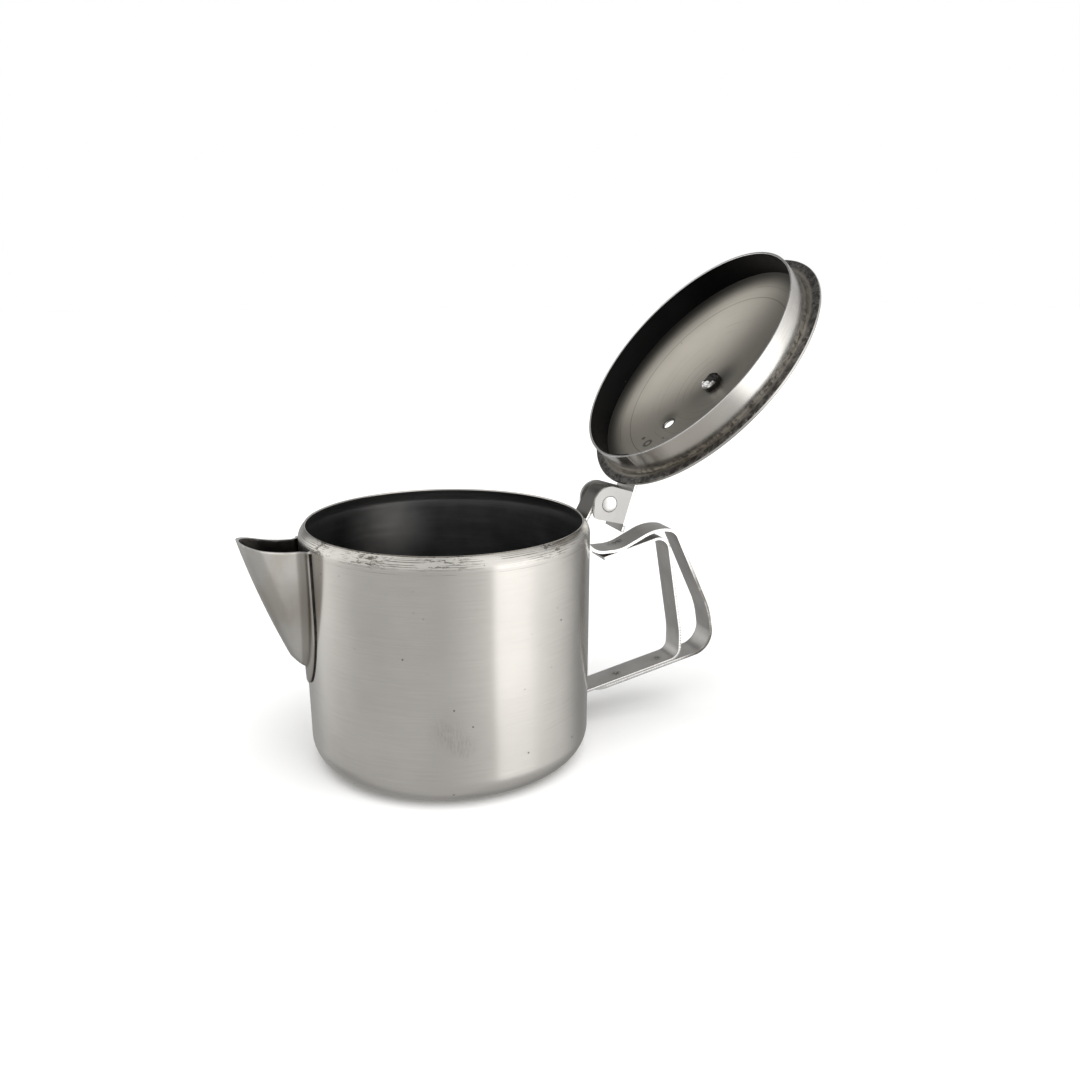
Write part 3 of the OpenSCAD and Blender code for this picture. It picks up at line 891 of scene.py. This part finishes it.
def make_lid_shell():
    top = ring_of(np.linspace(0, DOME_R, 56), 0.0)
    hem = arc((RIM_R - HEM_R, HEM_R), HEM_R, 172, -90, 14)
    under = np.column_stack([np.linspace(RIM_R - HEM_R, DOME_R, 5)[1:], np.zeros(4)])
    inside = ring_of(np.linspace(DOME_R - 0.3, 0, 70), -LID_WALL)
    outline = np.vstack([top, hem, under, inside])
    kinds = [0] * (len(top) + len(hem) - 5) + [1] * (len(under) + 7)
    kinds += [2] * (len(outline) - 1 - len(kinds))
    lid = lathe("lid_dome", outline, 256, kinds)
    x, y = vent_place()
    holes = [rod(VENT_D / 2, (x, y, 0), (x, y, 12), 40, kind=1),
             rod(SHANK_R + 0.1, (0, 0, 0), (0, 0, 12), 40)]
    combine(lid, holes, "DIFFERENCE")
    finishes = [lid_outside(), rim_underside(), lid_inside()]
    add_piece(lid, "lid", "lid_shell", finishes, lid_place())


def make_skirt():
    """A thin strip bent to a ring, its end lapped over its start on the inside."""
    low = -SKIRT_DEPTH
    inner, outer = SKIRT_R - LID_WALL, SKIRT_R
    top_in, top_out = dome_z(inner, -LID_WALL), dome_z(outer, -LID_WALL)
    heights = np.linspace(0, 1, 8)[1:-1]
    outline = [(inner, low + 0.12), (inner + 0.12, low), (outer - 0.12, low), (outer, low + 0.12)]
    outline += [(outer, low + (top_out - low) * share) for share in heights]
    outline += [(outer, top_out), (inner, top_in)]
    outline += [(inner, top_in + (low - top_in) * share) for share in heights]
    edges = {0: 2, 1: 2, 2: 2}
    kinds = [edges.get(i, 0 if i < len(outline) / 2 + 2 else 1) for i in range(len(outline))]
    skirt = lathe("lid_skirt", outline, 256, kinds, closed=True)
    start = math.radians(SEAM_ANGLE)
    steps = 16
    lap = []
    for k in range(steps + 1):
        angle = start + math.radians(SEAM_OVERLAP) * k / steps
        thin = 0.45 * min(1, (steps - k) / 3 + 0.1)
        near, far = inner - thin, inner + 0.2
        for r, z in ((near, low + 0.1), (far, low + 0.1), (far, -0.5), (near, -0.5)):
            lap.append((r * math.cos(angle), r * math.sin(angle), z))
    faces = tube_faces(steps + 1, 4) + [(0, 1, 2, 3), tuple(range(4 * steps, 4 * steps + 4))]
    combine(skirt, [make_object("cutter", lap, faces, [1] * len(faces))], "UNION")
    groove = rod(0.11, (SKIRT_R * math.cos(start), SKIRT_R * math.sin(start), low - 1),
                 (SKIRT_R * math.cos(start), SKIRT_R * math.sin(start), 1), 12)
    combine(skirt, [groove], "DIFFERENCE")
    # skirt_inside is coloured near-black as painted shade inside the skirt
    finishes = [skirt_steel("skirt_outside", (0.80, 0.775, 0.735), 0.22, 1.0),
                skirt_steel("skirt_inside", (0.020, 0.020, 0.021), 0.4, 0.0), cut_edge()]
    add_piece(skirt, "lid", "lid_skirt_ring", finishes, lid_place())


def make_bracket():
    """Tongue and web from one strip, with an ear folded down on each side and a hole in each for the pin."""
    pin = np.array([PIN_X, PIN_Z - RIM_Z])
    web_low, web_high = pin + (-8.4, 5.0), pin + (1.6, 9.5)
    slope = (web_high[1] - web_low[1]) / (web_high[0] - web_low[0])
    drop = BRACKET_T / 2 * math.hypot(1, slope)

    def web_middle(x):
        return web_low[1] + (x - web_low[0]) * slope - drop

    rest = BRACKET_T / 2 + 0.06
    tongue = [(x, dome_z(x, rest), 60) for x in (26.0, 32.0)]
    line = centre_line(tongue + [(38.9, web_middle(38.9), 1.6), (pin[0] + 4.2, web_middle(pin[0] + 4.2), 0)])
    bracket = sweep_strip("lid_bracket", resample(line, 0.4), 2 * EAR_OUT, BRACKET_T, round_start=True)
    heel, toe = pin + (6.9, -1.3), pin + (-2.5, -8.8)
    fold = np.array([0.0, -0.12])
    outline = np.vstack([[web_low + fold, web_high + fold], bend(web_high, heel, toe, 1.8, 6),
                         bend(heel, toe, web_low, 5.5, 4)])
    ears = [plate("ear", outline, y, y + BRACKET_T) for y in (EAR_IN, -EAR_OUT)]
    combine(bracket, ears, "UNION")
    combine(bracket, [rod(EAR_HOLE_R, (pin[0], -10, pin[1]), (pin[0], 10, pin[1]), 64)], "DIFFERENCE")
    bevel(bracket, 0.12, kind=1, angle=50)
    finish = Finish("satin_bracket", (0.50, 0.49, 0.47), 0.34)
    brushed_lines(finish, (140, 400, 2600), 0.05)
    finish.shade(finish.between(finish.noise(110, detail=4), 0.3, 0.7, 0.92, 1.05))
    pits(finish, 420, 0.08, 0.12, (0.2, 0.18, 0.16))
    finishes = [finish.done(), cut_edge()]
    add_piece(bracket, "lid", "lid_hinge_bracket", finishes, lid_place(), flat=True)


def make_knob():
    """A turned mushroom knob on the lid's outside."""
    base = DOME_TOP
    edge = 1.6
    cap = KNOB_H - 6.5
    outline = np.vstack([[(SHANK_R + 0.05, base), (4.35, base), (4.6, base + 0.25), (4.6, base + 0.8)],
                         arc((4.6, base + 2.4), 1.6, 268, 182, 8), arc((5, base + cap - 2), 2, 180, 90, 8),
                         arc((KNOB_D / 2 - edge, base + cap + edge), edge, -88, 62, 8)])
    crown = np.linspace(6.1, 0, 14)
    last = outline[-1]
    top = np.column_stack([crown, base + KNOB_H - (base + KNOB_H - last[1]) * (crown / last[0]) ** 2.2])
    outline = np.vstack([outline, top])
    sleeve = [(0, base + 6.9), (SHANK_R + 0.05, base + 6.9)]
    knob = lathe("turned_knob", np.vstack([sleeve, outline]), 128)
    finish = turned_steel("knob_steel", (0.80, 0.785, 0.76), 0.2)
    add_piece(knob, "lid", "lid_knob", [finish], lid_place())


def mashed(points):
    """Lumps and cracks at the hammered end of the rivet's head, the same in every run."""
    noise.seed_set(HAMMER_SEED)
    moved = []
    end = DOME_TOP - LID_WALL - STUD_DROP
    for x, y, z in points:
        amount = min(1.0, max(0.0, (end + 1.5 - z) / 1.2))
        lump = noise.noise_vector(Vector((x, y, z)) * 0.55 + Vector((3.1, 8.2, 1.7)))
        fine = noise.noise_vector(Vector((x, y, z)) * 1.5)
        push = (lump * 0.7 + fine * 0.45) * amount
        moved.append((x + push.x * 0.45, y + push.y * 0.45, min(max(z + push.z, end - 0.1), DOME_TOP + 7)))
    return np.array(moved)


def make_stud():
    """The knob's rivet: its shank inside the knob and its hammered head inside the lid."""
    under = DOME_TOP - LID_WALL
    end = under - STUD_DROP
    face = np.column_stack([np.linspace(0, STUD_R - 0.9, 14), np.full(14, end + 0.25)])
    side = np.vstack([arc((STUD_R - 1.0, end + 1.2), 0.95, -80, -8, 12),
                      np.column_stack([np.full(8, STUD_R - 0.08), np.linspace(end + 1.3, under - 0.02, 8)])])
    shank = [(SHANK_R, under - 0.02), (SHANK_R, DOME_TOP + 6.0), (0, DOME_TOP + 6.0)]
    stud = lathe("knob_stud", np.vstack([face, side, shank]), 96, shape=mashed)
    add_piece(stud, "lid", "knob_rivet", [hammered_steel()], lid_place(), sharp=50)


# ---- studio ----

POT_MIDDLE = Vector((0.02, 0, 0.05))
CAMERA_TARGET = Vector((0.0382, 0, 0.0422))
CAMERA_DISTANCE = 0.340
CAMERA_AZIMUTH = math.radians(-22.835)
CAMERA_ELEVATION = math.radians(19.024)
CAMERA_ROLL = math.radians(0.461)
CAMERA_LENS = 33.745
CAMERA_SHIFT = (-0.0168, 0.0642)


def make_floor(half=3.0):
    points = [(x * half / MM, y * half / MM, -0.05) for x, y in ((-1, -1), (1, -1), (1, 1), (-1, 1))]
    floor = make_object("floor", points, [(0, 1, 2, 3)])
    floor.data.materials.append(floor_white())
    floor.visible_glossy = False


def ramp(tree, value, stops):
    """A colour ramp through stops (position, brightness)."""
    node = tree.nodes.new("ShaderNodeValToRGB")
    tree.links.new(value, node.inputs[0])
    elements = node.color_ramp.elements
    elements[0].position, elements[-1].position = stops[0][0], stops[-1][0]
    for position, _ in stops[1:-1]:
        elements.new(position)
    for element, (_, bright) in zip(elements, stops):
        element.color = (bright, bright, bright, 1)
    return node.outputs[0]


def make_world():
    """Surroundings in four layers of brightness, by compass direction and height.

    A pale table top below the horizon, bright windows to the front and to one side, and a softer
    room above. The levels were worked out from how bright the real pot's steel looks and then
    adjusted. The camera itself sees plain white behind the pot.
    """
    table = ((-180, 0.52), (-147, 0.54), (-113, 0.54), (-84, 0.56), (-60, 0.48), (-30, 0.46), (-7, 0.46),
             (15, 0.36), (30, 0.27), (50, 0.32), (80, 0.38), (110, 0.40), (122, 0.36), (139, 0.34),
             (152, 0.38), (168, 0.48), (180, 0.52))
    front = ((-180, 0.0), (-110, 0.0), (-96, 0.11), (-84, 0.22), (-73, 0.46), (-68.5, 1.3), (-58, 1.36),
             (-42, 1.22), (-32, 0.86), (-19, 0.66), (-7, 0.44), (6, 0.22), (15, 0.03), (30, 0.0), (180, 0.0))
    side = ((-180, 0.05), (-165, 0.0), (110, 0.0), (125, 0.28), (133, 0.58), (141, 0.66), (152, 0.56),
            (168, 0.25), (180, 0.05))
    room = ((-180, 0.85), (-100, 0.8), (-70, 1.25), (-40, 1.2), (-20, 0.85), (10, 0.58), (30, 0.5),
            (60, 0.45), (75, 0.42), (88, 0.24), (104, 0.15), (112, 0.36), (122, 0.85), (135, 1.1),
            (180, 0.95))
    layers = ((table, ((-1.0, 1.0), (0.0, 1.0), (0.22, 0.0), (1.0, 0.0))),
              (front, ((-1.0, 0.0), (-0.68, 0.0), (-0.56, 0.06), (-0.47, 0.29), (-0.41, 0.66), (-0.32, 1.0),
                       (0.05, 1.0), (0.25, 0.0), (1.0, 0.0))),
              (side, ((-1.0, 0.0), (-0.46, 0.0), (-0.42, 0.25), (-0.38, 0.55), (-0.33, 1.0), (0.05, 1.0),
                      (0.25, 0.0), (1.0, 0.0))),
              (room, ((-1.0, 0.0), (-0.02, 0.0), (0.2, 1.0), (1.0, 1.0))))
    world = bpy.data.worlds.new("studio")
    bpy.context.scene.world = world
    world.use_nodes = True
    tree = world.node_tree
    direction = tree.nodes.new("ShaderNodeTexCoord").outputs["Generated"]
    parts = tree.nodes.new("ShaderNodeSeparateXYZ")
    tree.links.new(direction, parts.inputs[0])

    def calculate(operation, a, b):
        node = tree.nodes.new("ShaderNodeMath")
        node.operation = operation
        for socket, value in zip(node.inputs, (a, b)):
            if isinstance(value, bpy.types.NodeSocket):
                tree.links.new(value, socket)
            else:
                socket.default_value = value
        return node.outputs[0]

    angle = calculate("ARCTAN2", parts.outputs["Y"], parts.outputs["X"])
    turn = calculate("ADD", calculate("DIVIDE", angle, 2 * math.pi), 0.5)
    height = calculate("ADD", calculate("MULTIPLY", parts.outputs["Z"], 0.5), 0.5)
    brightness = 0.0
    for compass, levels in layers:
        around = ramp(tree, turn, [(a / 360 + 0.5, bright / 2) for a, bright in compass])
        level = ramp(tree, height, [(h * 0.5 + 0.5, bright) for h, bright in levels])
        brightness = calculate("ADD", brightness, calculate("MULTIPLY", around, level))
    seen = tree.nodes.new("ShaderNodeLightPath").outputs["Is Camera Ray"]
    mix = tree.nodes.new("ShaderNodeMix")
    tree.links.new(seen, mix.inputs["Factor"])
    tree.links.new(calculate("MULTIPLY", brightness, 2.0), mix.inputs[2])
    mix.inputs[3].default_value = 1.0
    tree.links.new(mix.outputs[0], tree.nodes["Background"].inputs["Strength"])
    tree.nodes["Background"].inputs["Color"].default_value = (1.0, 1.0, 1.0, 1)


def add_sun(name, position, power, spread):
    """A soft sun that faces the pot, unseen and leaving no glint. spread is its angle in degrees."""
    data = bpy.data.lights.new(name, "SUN")
    data.energy = power
    data.angle = math.radians(spread)
    light = bpy.data.objects.new(name, data)
    light.location = position
    light.rotation_mode = "QUATERNION"
    light.rotation_quaternion = (POT_MIDDLE - Vector(position)).to_track_quat("-Z", "Y")
    light.visible_camera = False
    light.visible_glossy = False
    bpy.context.scene.collection.objects.link(light)


def make_camera():
    """Stands to the front left of the pot, a little above it."""
    outward = math.cos(CAMERA_ELEVATION)
    back = Vector((math.sin(CAMERA_AZIMUTH) * outward, -math.cos(CAMERA_AZIMUTH) * outward,
                   math.sin(CAMERA_ELEVATION)))
    level = Vector((0, 0, 1)).cross(back).normalized()
    upright = back.cross(level)
    right = level * math.cos(CAMERA_ROLL) + upright * math.sin(CAMERA_ROLL)
    up = upright * math.cos(CAMERA_ROLL) - level * math.sin(CAMERA_ROLL)
    data = bpy.data.cameras.new("camera")
    data.lens = CAMERA_LENS
    data.shift_x, data.shift_y = CAMERA_SHIFT
    data.clip_start = 0.01
    camera = bpy.data.objects.new("camera", data)
    place = Matrix((right, up, back)).transposed().to_4x4()
    place.translation = CAMERA_TARGET + back * CAMERA_DISTANCE
    camera.matrix_world = place
    bpy.context.scene.collection.objects.link(camera)
    bpy.context.scene.camera = camera


make_camera()
make_world()
add_sun("overhead", (0.1, -0.25, 1.0), 2.2, 70)
make_floor()
make_body()
make_spout()
make_handle()
make_pin()
make_lid_shell()
make_skirt()
make_bracket()
make_knob()
make_stud()
bpy.context.scene.view_settings.view_transform = "Standard"
